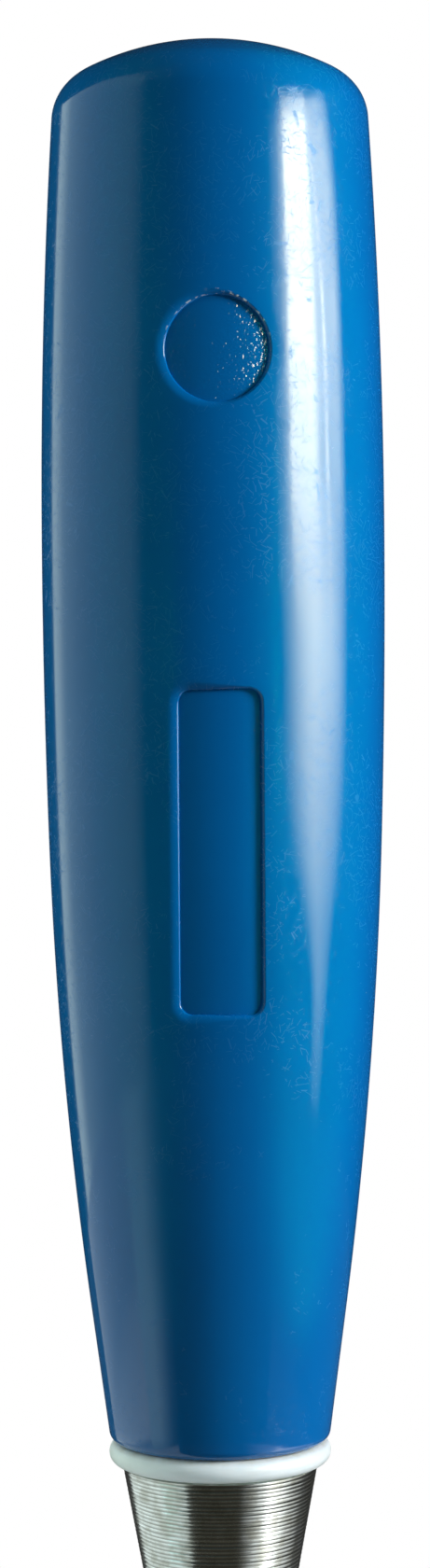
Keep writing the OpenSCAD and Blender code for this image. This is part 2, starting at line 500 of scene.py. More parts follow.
@dataclass(frozen=True)
class MouldedPolythene(Finish):
    """Off-white polythene, moulded and left satin.

    The eye sees a milky ring with soft edges, and painted shade, darker and yellower in mottled patches,
    along its top where the handle's foot sits on it.
    """

    name: str = "moulded_white_polythene"
    body: str = "#F0FAFF"
    shade: str = "#E4F1F8"
    contact_shade: str = "#B9B08A"
    ior: float = 1.51
    satin: Flat = (0.25, 0.43)
    mottle_mm: float = 1.6
    mottle_depth_mm: float = 0.03
    contact_shade_depth: float = 0.5
    glow: float = 0.45
    glow_mm: float = 0.8
    glow_reach: Point = (0.9, 1.0, 1.05)

    def make(self, top: float) -> bpy.types.Material:
        """Draws the finish.

        Args:
            top: Height of the ring's upper face, under which the painted contact shade lies.

        Returns:
            The material.
        """
        material, tree, place = self.start()
        scale = per_metre(self.mottle_mm)
        mottle = add_node(tree, "TexNoise", {"Vector": place, "Scale": scale, "Detail": 3.0})
        near = add_node(
            tree,
            "MapRange",
            {
                "Value": add_node(tree, "SeparateXYZ", {"Vector": place}).outputs["Z"],
                "From Min": (top - self.contact_shade_depth) * MM,
                "From Max": top * MM,
            },
            interpolation_type="SMOOTHSTEP",
        )
        # Painted shade: a mottled darkening that grows towards the upper face, where the handle's foot meets
        # the ring
        crease_shade = add_node(tree, "Math", {0: near, 1: mottle}, operation="MULTIPLY")
        mixed: Any = linear(self.body)
        for share, shade in ((mottle, self.shade), (crease_shade, self.contact_shade)):
            mixed = add_node(tree, "Mix", {"Factor": share, "A": mixed, "B": linear(shade)}, data_type="RGBA")
        least, most = self.satin
        rough = add_node(tree, "MapRange", {"Value": mottle, "To Min": least, "To Max": most})
        bump = add_node(
            tree, "Bump", {"Height": mottle, "Strength": 0.25, "Distance": self.mottle_depth_mm * MM}
        )
        self.end(
            tree,
            {
                "Base Color": mixed,
                "Roughness": rough,
                "IOR": self.ior,
                "Subsurface Weight": self.glow,
                "Subsurface Radius": self.glow_reach,
                "Subsurface Scale": self.glow_mm * MM,
                "Normal": bump,
            },
        )
        return material


@dataclass(frozen=True)
class WorkedSteel(Finish):
    """Bare carbon steel whose surface was cut or ground in one direction.

    The eye sees a grey mirror, drawn out into streaks along the tool marks, with darker stains between them.
    """

    bright: str = "#C9CBC8"
    dull: str = "#A3A5A1"
    rough_low: float = 0.18
    rough_high: float = 0.38
    line_mm: float = 0.12
    stretch: Point = (1.0, 1.0, 1.0)
    line_depth_mm: float = 0.008
    line_share: float = 0.6
    stain_mm: float = 5.0
    # Colour and largest share of the painted shade in the groove floors; none unless a share is given
    crease_shade: str = "#55534A"
    crease_shade_share: float = 0.0

    def make(self) -> bpy.types.Material:
        """Draws the finish.

        Returns:
            The material.
        """
        material, tree, place = self.start()
        drawn = add_node(tree, "Mapping", {"Vector": place, "Scale": self.stretch})
        lines = add_node(
            tree,
            "TexNoise",
            {"Vector": drawn, "Scale": per_metre(self.line_mm), "Detail": 3.0, "Roughness": 0.6},
        )
        scale = per_metre(self.stain_mm)
        stain = add_node(tree, "TexNoise", {"Vector": place, "Scale": scale, "Detail": 5.0})
        tone, worn = (
            add_node(
                tree,
                "MapRange",
                {"Value": pattern, "From Min": start, "From Max": 0.75},
                interpolation_type="SMOOTHSTEP",
            )
            for pattern, start in ((lines, 0.3), (stain, 0.35))
        )
        mixed = add_node(tree, "Math", {0: tone, 1: self.line_share, 2: worn}, operation="MULTIPLY_ADD")
        colour = add_node(
            tree, "Mix", {"Factor": mixed, "A": linear(self.bright), "B": linear(self.dull)}, data_type="RGBA"
        )
        # Painted shade: the floors of the lathe grooves are darkened towards a dark grey
        if self.crease_shade_share:
            groove = add_node(tree, "Attribute", attribute_name=GROOVE_MARK).outputs["Fac"]
            groove_shade_mask = add_node(
                tree,
                "MapRange",
                {"Value": groove, "From Min": 0.5, "To Max": self.crease_shade_share},
                interpolation_type="SMOOTHSTEP",
            )
            inputs = {"Factor": groove_shade_mask, "A": colour, "B": linear(self.crease_shade)}
            colour = add_node(tree, "Mix", inputs, data_type="RGBA")
        rough = add_node(
            tree,
            "MapRange",
            {
                "Value": mixed,
                "From Max": 1.0 + self.line_share,
                "To Min": self.rough_low,
                "To Max": self.rough_high,
            },
        )
        bump = add_node(
            tree, "Bump", {"Height": lines, "Strength": 0.6, "Distance": self.line_depth_mm * MM}
        )
        self.end(tree, {"Base Color": colour, "Metallic": 1.0, "Roughness": rough, "Normal": bump})
        return material


# The bolster's groove floors carry painted shade
TURNED_STEEL = WorkedSteel(
    "turned_carbon_steel", bright="#E2EAE8", dull="#BBBFB6", rough_low=0.12, rough_high=0.26, line_mm=9.0,
    stretch=(1.0, 1.0, 100.0), line_depth_mm=0.005, stain_mm=1.4, crease_shade_share=0.5,
)
GROUND_STEEL = WorkedSteel(
    "ground_tool_steel", dull="#B2B4B0", rough_low=0.2, rough_high=0.32, line_mm=0.25,
    stretch=(1.0, 1.0, 0.02), stain_mm=12.0,
)
HONED_STEEL = WorkedSteel(
    "honed_tool_steel", bright="#DDDEDC", dull="#CDCECB", rough_low=0.05, rough_high=0.12, line_mm=0.15,
    stretch=(1.0, 1.0, 0.05), line_depth_mm=0.002,
)
FORGED_STEEL = WorkedSteel(
    "forged_polished_steel", rough_low=0.2, rough_high=0.34, line_mm=0.8, line_depth_mm=0.006
)


@dataclass(frozen=True)
class Tang:
    """The round shank and the tapered square tang above it, which the handle's socket follows."""

    shank_r: float = 4.0
    root_z: float = 145.1
    root_half: float = 2.793
    tip_half: float = 1.8
    length: float = 60.0


@dataclass(frozen=True)
class Arc:
    """One arc of the handle's outline: its middle, its radius and the turns of its ends in degrees."""

    out: float
    up: float
    radius: float
    first: float
    last: float

    def at(self, turn: float) -> Flat:
        """Gives the radius and height of the point at a turn in degrees."""
        angle = math.radians(turn)
        return self.out + self.radius * math.cos(angle), self.up + self.radius * math.sin(angle)

    def span(self) -> Flat:
        """Gives the heights where the arc starts and ends."""
        return self.at(self.first)[1], self.at(self.last)[1]

    def turns(self, count: int) -> list[float]:
        """Gives evenly spaced turns from the start to the end, both included."""
        return spread(self.first, self.last, count)


@dataclass(frozen=True)
class Recess:
    """A shallow recess in the handle's front, a rectangle with rounded corners in the plane of the front."""

    middle: float
    half_w: float
    half_len: float
    corner_r: float
    columns: int
    rows: int
    grain: float = 1.0
    # How strongly and where the upper rim is marked pale, partly for wear and partly as a painted glint
    worn_glint: float = 0.0
    worn_glint_rise: Flat = (0.1, 0.6)
    worn_glint_turn: Flat = (-0.3, 0.3)
    worn_glint_rings: int = 4
    margin: float = 1.9
    least_r: float = 0.05

    def span(self) -> Flat:
        """Gives the lowest and highest row of the patch of grid that the recess takes up."""
        reach = self.half_len + self.margin
        return self.middle - reach, self.middle + reach

    def contour(self, across: float, along: float, offset: float) -> Flat:
        """Finds a point on the outline, moved outwards.

        Args:
            across: Place across a square from -1 to 1, of a point on the square's edge.
            along: Place along the square, from -1 to 1.
            offset: How far the outline is moved outwards.

        Returns:
            Place across the front and height above the foot.
        """
        corner = max(self.corner_r + offset, self.least_r)
        straight_w = self.half_w + offset - corner
        straight_len = self.half_len + offset - corner
        side_x, side_z = math.copysign(1, across), math.copysign(1, along)
        on_end = abs(along) >= abs(across)
        place = abs(across) if on_end else abs(along)
        half = self.half_w if on_end else self.half_len
        share = (half - self.corner_r) / half
        if place <= share:
            run = place / share if share else 0.0
            if on_end:
                return side_x * run * straight_w, self.middle + side_z * (straight_len + corner)
            return side_x * (straight_w + corner), self.middle + side_z * run * straight_len
        turn = math.radians(45 * (place - share) / (1 - share))
        turn = math.pi / 2 - turn if on_end else turn
        return (
            side_x * (straight_w + corner * math.cos(turn)),
            self.middle + side_z * (straight_len + corner * math.sin(turn)),
        )


@dataclass
class MouldedHandle:
    """The handle: a turned barrel with a domed head, two bare recesses in front and a socket for the tang."""

    foot_z: float = NECK_TOP + BOLSTER_LEN + WASHER_T
    length: float = 130.0
    belly_r: float = 16.0
    belly_h: float = 84.5
    shoulder_arc_r: float = 620.0
    belly_arc_r: float = 875.0
    belly_arc_run: float = 29.5
    waist_arc_r: float = 422.0
    foot_taper: float = 7.7
    foot_corner_r: float = 1.0
    head_corner_r: float = 4.6
    crown_r: float = 26.3
    tang: Tang = Tang()
    socket_clear: float = 0.1
    socket_spare: float = 0.8
    recess_depth: float = 0.5
    lip_depth: float = 0.25
    lip_w: float = 0.85
    lip_narrow: float = 0.25
    lip_span: Flat = (-0.9, 0.9)
    lip_power: float = 2.1
    lip_parts: int = 7
    apron: float = 0.35
    apron_shares: tuple[float, ...] = (0.4, 0.75, 1.0)
    edge_r: float = 0.2
    wall_lean: float = 8.0
    columns: int = 256
    barrel_step: float = 1.0
    foot_parts: int = 12
    corner_parts: int = 22
    crown_parts: int = 20
    pole_r: float = 0.2
    sharp: float = 60.0
    recesses: tuple[Recess, ...] = (
        Recess(middle=55.0, half_w=3.8, half_len=14.5, corner_r=1.2, columns=32, rows=68, grain=0.6),
        Recess(middle=99.6, half_w=4.8, half_len=4.8, corner_r=4.8, columns=36, rows=34, worn_glint=1.0),
    )
    finish: MouldedAcetate = field(default_factory=MouldedAcetate)

    def __post_init__(self) -> None:
        """Works out the arcs of the outline from the sizes, as the CAD part does."""
        taper = math.radians(self.foot_taper)
        belly_a = math.asin(self.belly_arc_run / self.belly_arc_r)
        belly_x = self.belly_r - self.belly_arc_r
        run = self.belly_arc_r - self.waist_arc_r
        waist = (belly_x + run * math.cos(belly_a), self.belly_h - run * math.sin(belly_a))
        end_x = waist[0] + self.waist_arc_r * math.cos(taper)
        end_h = waist[1] - self.waist_arc_r * math.sin(taper)
        foot_r = end_x - end_h * math.tan(taper)
        foot_x = foot_r + self.foot_corner_r * (math.tan(taper) - 1 / math.cos(taper))
        shoulder_x = self.belly_r - self.shoulder_arc_r
        crown_h = self.length - self.crown_r
        corner = self.meet(
            (shoulder_x, self.belly_h),
            self.shoulder_arc_r - self.head_corner_r,
            (0.0, crown_h),
            self.crown_r - self.head_corner_r,
        )
        shoulder_a = math.degrees(math.atan2(corner[1] - self.belly_h, corner[0] - shoulder_x))
        crown_a = math.degrees(math.atan2(corner[1] - crown_h, corner[0]))
        low, taper_deg = -math.degrees(belly_a), -self.foot_taper
        self.foot_arc = Arc(foot_x, self.foot_corner_r, self.foot_corner_r, -90.0, taper_deg)
        self.taper_top = end_h
        self.barrel = [
            Arc(waist[0], waist[1], self.waist_arc_r, taper_deg, low),
            Arc(belly_x, self.belly_h, self.belly_arc_r, low, 0.0),
            Arc(shoulder_x, self.belly_h, self.shoulder_arc_r, 0.0, shoulder_a),
        ]
        self.corner_arc = Arc(corner[0], corner[1], self.head_corner_r, shoulder_a, crown_a)
        self.crown_arc = Arc(0.0, crown_h, self.crown_r, crown_a, 90.0)

    @staticmethod
    def meet(a: Flat, a_r: float, b: Flat, b_r: float) -> Flat:
        """Finds the upper crossing of two circles.

        Args:
            a: Middle of the first circle.
            a_r: Its radius.
            b: Middle of the second circle.
            b_r: Its radius.

        Returns:
            The crossing.
        """
        away = math.dist(a, b)
        ex, ey = (b[0] - a[0]) / away, (b[1] - a[1]) / away
        along = (away**2 + a_r**2 - b_r**2) / (2 * away)
        off = math.sqrt(a_r**2 - along**2)
        return a[0] + along * ex - off * ey, a[1] + along * ey + off * ex

    def side(self, height: float) -> Point:
        """Finds the barrel's surface at a height above the foot.

        Args:
            height: The height.

        Returns:
            The radius there, and the outward and upward parts of the surface's normal.
        """
        if height < self.taper_top:
            taper = math.radians(self.foot_taper)
            low_r, low_h = self.foot_arc.at(self.foot_arc.last)
            return low_r + (height - low_h) * math.tan(taper), math.cos(taper), -math.sin(taper)
        arc = next((a for a in self.barrel if height <= a.span()[1]), self.barrel[-1])
        rise = height - arc.up
        out = math.sqrt(arc.radius**2 - rise**2)
        return arc.out + out, out / arc.radius, rise / arc.radius

    def front(self, across: float, height: float, depth: float = 0.0) -> Point:
        """Finds a point on the front of the barrel, or below its surface.

        Args:
            across: Its place across the front.
            height: Its height above the foot.
            depth: How deep it lies below the surface.

        Returns:
            The point.
        """
        radius, out, rise = self.side(height)
        turn = math.asin(max(-1.0, min(1.0, across / radius)))
        inner = radius - depth * out
        return inner * math.sin(turn), -inner * math.cos(turn), self.foot_z + height - depth * rise

    def lip(self) -> list[Flat]:
        """Gives the section of a recess's edge.

        Returns:
            Offsets outwards from the outline and depths, from the outside in: a soft lip, a crisp edge and a
            steep wall down to the floor.
        """
        shares = spread(0.0, 1.0, self.lip_parts)
        section = [(self.lip_w * (1 - share), self.lip_depth * share**self.lip_power) for share in shares]
        first = math.atan(self.lip_power * self.lip_depth / self.lip_w)
        last = math.radians(90.0 - self.wall_lean)
        for turn in spread(first, last, self.lip_parts)[1:]:
            inwards = self.edge_r * (math.sin(turn) - math.sin(first))
            section.append((-inwards, self.lip_depth + self.edge_r * (math.cos(first) - math.cos(turn))))
        inwards, depth = -section[-1][0], section[-1][1]
        wall = self.recess_depth - depth
        lean = math.tan(math.radians(self.wall_lean))
        for share in (0.5, 1.0):
            section.append((-inwards - share * wall * lean, depth + wall * share))
        return section

    def lip_share(self, across: float) -> float:
        """Gives the share of the lip's width at a place across a recess, which shrinks from left to right."""
        return 1.0 - (1.0 - self.lip_narrow) * smooth(*self.lip_span, across)

    def heights(self) -> list[float]:
        """Spaces the rows of the barrel, with the rows of each recess's patch among them.

        Returns:
            Their heights above the foot.
        """
        rows = [self.foot_arc.span()[1]]
        for recess in self.recesses:
            start, stop = recess.span()
            rows += self.steps(rows[-1], start)[1:]
            rows += spread(start, stop, recess.rows)[1:]
        return rows + self.steps(rows[-1], self.corner_arc.span()[0])[1:]

    def steps(self, low: float, high: float) -> list[float]:
        """Gives evenly spaced heights no further apart than the barrel's step, both ends included."""
        return spread(low, high, math.ceil((high - low) / self.barrel_step))

    def patch(self, skin: Skin, grid: list[list[int]], first: int, recess: Recess) -> None:
        """Fills a hole in the barrel's grid with the rings and the floor of a recess.

        Args:
            skin: The handle's skin.
            grid: The numbers of the barrel's points, row by row.
            first: The row where the hole starts.
            recess: The recess.
        """
        wide, high = recess.columns, recess.rows
        half = wide // 2
        edge = [(i, 0) for i in range(wide)] + [(wide, k) for k in range(high)]
        edge += [(i, high) for i in range(wide, 0, -1)] + [(0, k) for k in range(high, 0, -1)]
        square_edge = [(2 * i / wide - 1, 2 * k / high - 1) for i, k in edge]
        ring = [grid[first + k][i - half] for i, k in edge]
        hole = [(skin.points[n][0], skin.points[n][2] - self.foot_z) for n in ring]
        section = self.lip()
        outer = [recess.contour(u, v, section[0][0] + self.apron) for u, v in square_edge]
        for share in self.apron_shares:
            flat = [(x + (u - x) * share, h + (v - h) * share) for (x, h), (u, v) in zip(hole, outer)]
            ring = skin.grow(ring, (self.front(x, h) for x, h in flat))
        for number, (offset, depth) in enumerate(section):
            spots = [recess.contour(u, v, offset * self.lip_share(u)) for u, v in square_edge]
            ring = skin.grow(ring, (self.front(x, h, depth) for x, h in spots))
            # The upper rim is marked pale, partly for wear and partly as a painted glint: along its crisp
            # edge on the left, and over the outer lip on the right
            if recess.worn_glint:
                upper = [smooth(*recess.worn_glint_rise, (h - recess.middle) / recess.half_len) for _, h in spots]
                right = [smooth(*recess.worn_glint_turn, u) for u, _ in square_edge]
                at_left, at_right = float(offset == 0), float(0 < number <= recess.worn_glint_rings)
                sides = [at_left + (at_right - at_left) * b for b in right]
                skin.mark(RIM_MARK, ring, (recess.worn_glint * a * b for a, b in zip(upper, sides)))
        self.floor(skin, ring, edge, recess, section[-1])

    def floor(
        self, skin: Skin, ring: list[int], edge: list[tuple[int, int]], recess: Recess, last: Flat
    ) -> None:
        """Fills the floor of a recess with a grid of shrinking outlines.

        Args:
            skin: The handle's skin.
            ring: The numbers of the points round the floor.
            edge: Their columns and rows in the patch.
            recess: The recess.
            last: Offset and depth of the floor's outline.
        """
        wide, high = recess.columns, recess.rows
        numbers = dict(zip(edge, ring))
        for i in range(1, wide):
            for k in range(1, high):
                u, v = 2 * i / wide - 1, 2 * k / high - 1
                reach = max(abs(u), abs(v))
                if reach:
                    x, h = recess.contour(u / reach, v / reach, last[0])
                    place = (x * reach, recess.middle + (h - recess.middle) * reach)
                else:
                    place = (0.0, recess.middle)
                numbers[i, k] = skin.add([self.front(*place, last[1])])[0]
                skin.mark(FLOOR_MARK, [numbers[i, k]], [recess.grain])
        for i in range(wide):
            for k in range(high):
                skin.face((numbers[i, k], numbers[i + 1, k], numbers[i + 1, k + 1], numbers[i, k + 1]))

    def build(self) -> Skin:
        """Builds the socket, the foot, the barrel with its recesses, and the head.

        Returns:
            The handle's skin.
        """
        skin = Skin()
        count, base = self.columns, self.foot_z
        tang, clear = self.tang, self.socket_clear
        end_z = tang.root_z + tang.length + self.socket_spare
        ring = skin.add(square(tang.tip_half + clear, end_z, count))
        skin.close(ring, (0.0, 0.0, end_z))
        rings: list[list[Point]] = [
            square(tang.root_half + clear, tang.root_z + clear, count),
            circle(tang.shank_r + clear, tang.root_z + clear, count),
            circle(tang.shank_r + clear, base, count),
        ]
        for turn in self.foot_arc.turns(self.foot_parts)[:-1]:
            radius, height = self.foot_arc.at(turn)
            rings.append(circle(radius, base + height, count))
        for points in rings:
            ring = skin.grow(ring, points)
        heights = self.heights()
        grid = [skin.add(circle(self.side(h)[0], base + h, count)) for h in heights]
        skin.bridge(ring, grid[0])
        holes = {heights.index(r.span()[0]): r for r in self.recesses}
        for k in range(len(grid) - 1):
            hole = next((r for start, r in holes.items() if start <= k < start + r.rows), None)
            for i in range(count):
                half = hole.columns // 2 if hole else 0
                if hole and (i < half or i >= count - half):
                    continue
                n = (i + 1) % count
                skin.face((grid[k][i], grid[k][n], grid[k + 1][n], grid[k + 1][i]))
        for start, recess in holes.items():
            self.patch(skin, grid, start, recess)
        ring = grid[-1]
        for arc, parts in ((self.corner_arc, self.corner_parts), (self.crown_arc, self.crown_parts)):
            for turn in arc.turns(parts)[1:]:
                radius, height = arc.at(turn)
                if radius >= self.pole_r:
                    ring = skin.grow(ring, circle(radius, base + height, count))
        skin.close(ring, (0.0, 0.0, base + self.length))
        return skin

    def dress(self) -> bpy.types.Object:
        """Makes the piece that stands for the handle's CAD node."""
        piece = self.build().make("moulded_handle", [self.finish.make()], self.sharp)
        return seat(piece, "handle")


def seat(piece: bpy.types.Object, node: str) -> bpy.types.Object:
    """Puts a piece in the place of a CAD node.

    Args:
        piece: The piece.
        node: The CAD node that it stands for.

    Returns:
        The piece.
    """
    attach(piece, BODY)
    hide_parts(node)
    return piece


def lathe(skin: Skin, rings: Iterable[Iterable[Point]]) -> list[list[int]]:
    """Joins rings of points one after the other, and the last to the first, into a hollow turned shape.

    Args:
        skin: The skin that takes them.
        rings: The rings.

    Returns:
        The numbers of each ring's points.
    """
    numbers = [skin.add(points) for points in rings]
    for low, high in zip(numbers, numbers[1:] + numbers[:1]):
        skin.bridge(low, high)
    return numbers


@dataclass
class ShockWasher:
    """The plastic ring between the handle's foot and the bolster, with a full round edge."""

    base_z: float = NECK_TOP + BOLSTER_LEN
    thick: float = WASHER_T
    outer_r: float = 10.352
    bore_r: float = 4.15
    bore_chamfer: float = 0.1
    columns: int = 192
    edge_parts: int = 28
    flat_parts: int = 4
    sharp: float = 40.0
    finish: MouldedPolythene = field(default_factory=MouldedPolythene)

    def build(self) -> Skin:
        """Builds the ring from its section.

        Returns:
            The washer's skin.
        """
        skin = Skin()
        half = self.thick / 2
        flat_r = self.outer_r - half
        flats = spread(self.bore_r, flat_r, self.flat_parts)[1:-1]
        inner_r = self.bore_r + self.bore_chamfer
        section: list[Flat] = [
            (self.bore_r, self.thick - self.bore_chamfer),
            (self.bore_r, self.bore_chamfer),
            (inner_r, 0.0),
        ]
        section += [(radius, 0.0) for radius in flats]
        for turn in spread(-math.pi / 2, math.pi / 2, self.edge_parts):
            section.append((flat_r + half * math.cos(turn), half + half * math.sin(turn)))
        section += [(radius, self.thick) for radius in reversed(flats)]
        section.append((inner_r, self.thick))
        lathe(skin, (circle(r, self.base_z + h, self.columns) for r, h in section))
        return skin

    def dress(self) -> bpy.types.Object:
        """Makes the piece that stands for the washer's CAD node.

        Returns:
            The piece.
        """
        finish = self.finish.make(self.base_z + self.thick)
        piece = self.build().make("shock_washer_ring", [finish], self.sharp)
        return seat(piece, "shock_washer")


@dataclass
class TurnedBolster:
    """The conical steel collar, with the grooves that the lathe tool left round it."""

    base_z: float = NECK_TOP
    length: float = BOLSTER_LEN
    low_r: float = 5.6
    high_r: float = 9.152
    chamfer: float = 0.25
    bore_r: float = 4.05
    bore_chamfer: float = 0.15
    pitch: float = 0.38
    pitch_spread: float = 0.12
    groove_depth: float = 0.022
    depth_spread: Flat = (0.55, 1.25)
    uneven: Flat = (0.9, 0.3)
    uneven_least: float = 0.15
    uneven_scale: float = 2.2
    uneven_reach: float = 100.0
    seed: int = 11
    columns: int = 192
    parts: int = 6
    sharp: float = 50.0
    finish: WorkedSteel = TURNED_STEEL

    def build(self) -> Skin:
        """Builds the collar, with one hollow cut for each turn of the lathe.

        Returns:
            The bolster's skin.
        """
        skin = Skin()
        draw = random.Random(self.seed)
        cone = (self.high_r - self.low_r) / self.length
        low, high = self.chamfer, self.length - self.chamfer
        count = round((high - low) / self.pitch)
        edges = []
        for i in range(count + 1):
            shift = draw.uniform(-self.pitch_spread, self.pitch_spread) * (0 < i < count)
            edges.append(low + (high - low) * (i + shift) / count)
        top_z = self.base_z + self.length
        inner_r = self.bore_r + self.bore_chamfer
        rings = [
            circle(self.bore_r, top_z - self.bore_chamfer, self.columns),
            circle(self.bore_r, self.base_z + self.bore_chamfer, self.columns),
            circle(inner_r, self.base_z, self.columns),
            circle(self.low_r - self.chamfer, self.base_z, self.columns),
        ]
        hollows = [0.0] * len(rings)
        for i in range(count):
            deep = self.groove_depth * draw.uniform(*self.depth_spread)
            start = draw.uniform(0, self.uneven_reach)
            for k in range(self.parts):
                t = k / self.parts
                height = edges[i] + (edges[i + 1] - edges[i]) * t
                hollow = 1 - (2 * t - 1) ** 2
                hollows.append(hollow)
                rings.append(self.groove(self.low_r + cone * height, height, deep * hollow, start))
        rings.append(circle(self.low_r + cone * high, self.base_z + high, self.columns))
        rings.append(circle(self.high_r - self.chamfer, top_z, self.columns))
        rings.append(circle(inner_r, top_z, self.columns))
        for ring, hollow in zip(lathe(skin, rings), hollows):
            skin.mark(GROOVE_MARK, ring, [hollow] * self.columns)
        return skin

    def groove(self, radius: float, height: float, hollow: float, start: float) -> list[Point]:
        """Gives one ring of a groove, deeper in some places than in others.

        Args:
            radius: The cone's radius there.
            height: Height above the bolster's lower end.
            hollow: Depth of the groove there.
            start: Where in the noise the groove's unevenness starts.

        Returns:
            The ring's points.
        """
        points = []
        mean, swing = self.uneven
        scale = self.uneven_scale
        for x, y, _ in circle(1.0, 0.0, self.columns):
            uneven = mean + swing * noise.noise((x * scale, y * scale, start))
            r = radius - hollow * max(self.uneven_least, uneven)
            points.append((r * x, r * y, self.base_z + height))
        return points

    def dress(self) -> bpy.types.Object:
        """Makes the piece that stands for the bolster's CAD node."""
        piece = self.build().make("turned_bolster", [self.finish.make()], self.sharp)
        return seat(piece, "bolster")


class Zone(Enum):
    """The differently worked faces of the blade, in the order of its materials."""

    GROUND = 0
    HONED = 1
    FORGED = 2


@dataclass
class BevelBlade:
    """The blade, neck, shank and tang, one forging with ground faces."""

    length: float = NECK_TOP
    half_w: float = 9.0
    back_y: float = 2.2
    edge_t: float = 0.012
    tip_t: float = 3.2
    land_h: float = 1.3
    side_bevel: float = 35.0
    ridge_half: float = 0.2
    grind_angle: float = 25.0
    hone_angle: float = 30.0
    hone_h: float = 0.8
    shoulder_z: float = 86.0
    shoulder_r: float = 11.0
    shoulder_lead: float = 1.0
    ground_past: float = 3.0
    tongue_half: float = 3.695
    tongue_z: float = 95.41
    neck_low_r: float = 4.7
    neck_top_r: float = 5.3
    neck_hollow_r: float = 34.0
    sink: float = 0.4
    round_z: float = 101.0
    top_chamfer: float = 0.2
    tang: Tang = Tang()
    tip_chamfer: Flat = (0.5, 0.6)
    edge_round: float = 0.09
    face_points: tuple[int, ...] = (14, 6, 14, 14)
    plate_parts: int = 24
    turn_parts: int = 32
    neck_parts: int = 6
    sharp: float = 22.0

    def __post_init__(self) -> None:
        """Counts the points in half a section."""
        self.half_count = sum(self.face_points)

    def front_y(self, z: float) -> float:
        """Finds the plate's front, which the cutting bevels move back near the edge.

        Args:
            z: The height.

        Returns:
            The front's place along Y.
        """
        hone = self.back_y - z * math.tan(math.radians(self.hone_angle))
        hone_y = self.back_y - self.hone_h * math.tan(math.radians(self.hone_angle))
        grind = hone_y - (z - self.hone_h) * math.tan(math.radians(self.grind_angle))
        taper = (2 * self.back_y - self.tip_t) / self.shoulder_z
        face = max(-self.back_y, self.back_y - self.tip_t - taper * z)
        return max(face, hone if z < self.hone_h else grind)

    def half_width(self, z: float) -> float:
        """Finds half the plate's width, which the hollow shoulders narrow.

        Args:
            z: The height.

        Returns:
            Half the width.
        """
        if z <= self.shoulder_z:
            return self.half_w
        drop = max(0.0, self.tongue_z - z)
        return self.tongue_half + self.shoulder_r - math.sqrt(self.shoulder_r**2 - drop**2)

    def neck_r(self, z: float) -> float:
        """Gives the neck's radius."""
        share = (z - self.shoulder_z) / (self.length - self.shoulder_z)
        return self.neck_low_r + (self.neck_top_r - self.neck_low_r) * share

    def plate_half(self, z: float) -> list[Flat]:
        """Gives the right half of a section through the plate.

        Args:
            z: The section's height.

        Returns:
            The points' places along X and Y, from the middle of the back to the middle of the front.
        """
        slope = math.tan(math.radians(self.side_bevel))
        wide, back = self.half_width(z), self.back_y
        front = min(self.front_y(z), back - self.edge_t)
        fillet = min(self.edge_round, (back - front) / 4)
        land = back - self.land_h - (self.half_w - wide) * slope
        land = min(max(land, front + fillet), back - fillet)
        inner = min(wide - fillet, self.half_w - (back - self.land_h - front) / slope)
        ridge = max(inner, self.ridge_half)
        corners = [(0.0, back), (wide, back), (wide, land), (ridge, front), (0.0, front)]
        points: list[Flat] = []
        for (x0, y0), (x1, y1), count in zip(corners, corners[1:], self.face_points):
            run = math.hypot(x1 - x0, y1 - y0)
            trim = min(fillet, run / 3) / run if run else 0.0
            start = 0.0 if x0 == 0.0 else trim
            stop = 1.0 if x1 == 0.0 else 1.0 - trim
            shares = spread(start, stop, count - 1)
            points += [(x0 + (x1 - x0) * share, y0 + (y1 - y0) * share) for share in shares]
        points.append((0.0, front))
        return points

    def section(self, z: float) -> list[Point]:
        """Gives a whole section, which turns from the bevelled plate into the round neck.

        Args:
            z: The section's height.

        Returns:
            Its points, clockwise from above from the middle of the back.
        """
        blend = smooth(self.shoulder_z - self.shoulder_lead, self.round_z, z)
        right = self.plate_half(min(z, self.tongue_z))
        neck = self.neck_r(max(z, self.shoulder_z))
        rise = max(0.0, z - self.shoulder_z)
        hollow = self.back_y - self.sink + self.neck_hollow_r - math.sqrt(self.neck_hollow_r**2 - rise**2)
        thick = min(neck, max(self.back_y, hollow))
        swell = thick / self.back_y if rise else 1.0
        points = []
        for i, (x, y) in enumerate(right):
            turn = math.pi * i / self.half_count
            round_x, round_y = neck * math.sin(turn), thick * math.cos(turn)
            flat_y = y * swell
            points.append((x + (round_x - x) * blend, flat_y + (round_y - flat_y) * blend, z))
        left = [(-x, y, z) for x, y, z in reversed(points[1:-1])]
        return points + left

    def levels(self) -> list[float]:
        """Spaces the sections from the cutting edge to the neck's top.

        Returns:
            Their heights.
        """
        slope = math.tan(math.radians(self.grind_angle))
        hone_t = self.hone_h * math.tan(math.radians(self.hone_angle))
        taper = (2 * self.back_y - self.tip_t) / self.shoulder_z
        grind_z = self.hone_h + (self.tip_t + taper * self.hone_h - hone_t) / (slope - taper)
        land_z = self.hone_h + (self.land_h - hone_t) / slope
        low = [0.0, self.hone_h / 2, self.hone_h, (self.hone_h + land_z) / 2, land_z, (land_z + grind_z) / 2]
        start = self.shoulder_z - self.shoulder_lead
        plate = spread(grind_z, start, self.plate_parts)
        turn = spread(start, self.round_z, self.turn_parts)[1:]
        neck = spread(self.round_z, self.length - self.top_chamfer, self.neck_parts)[1:]
        return low + plate + turn + neck

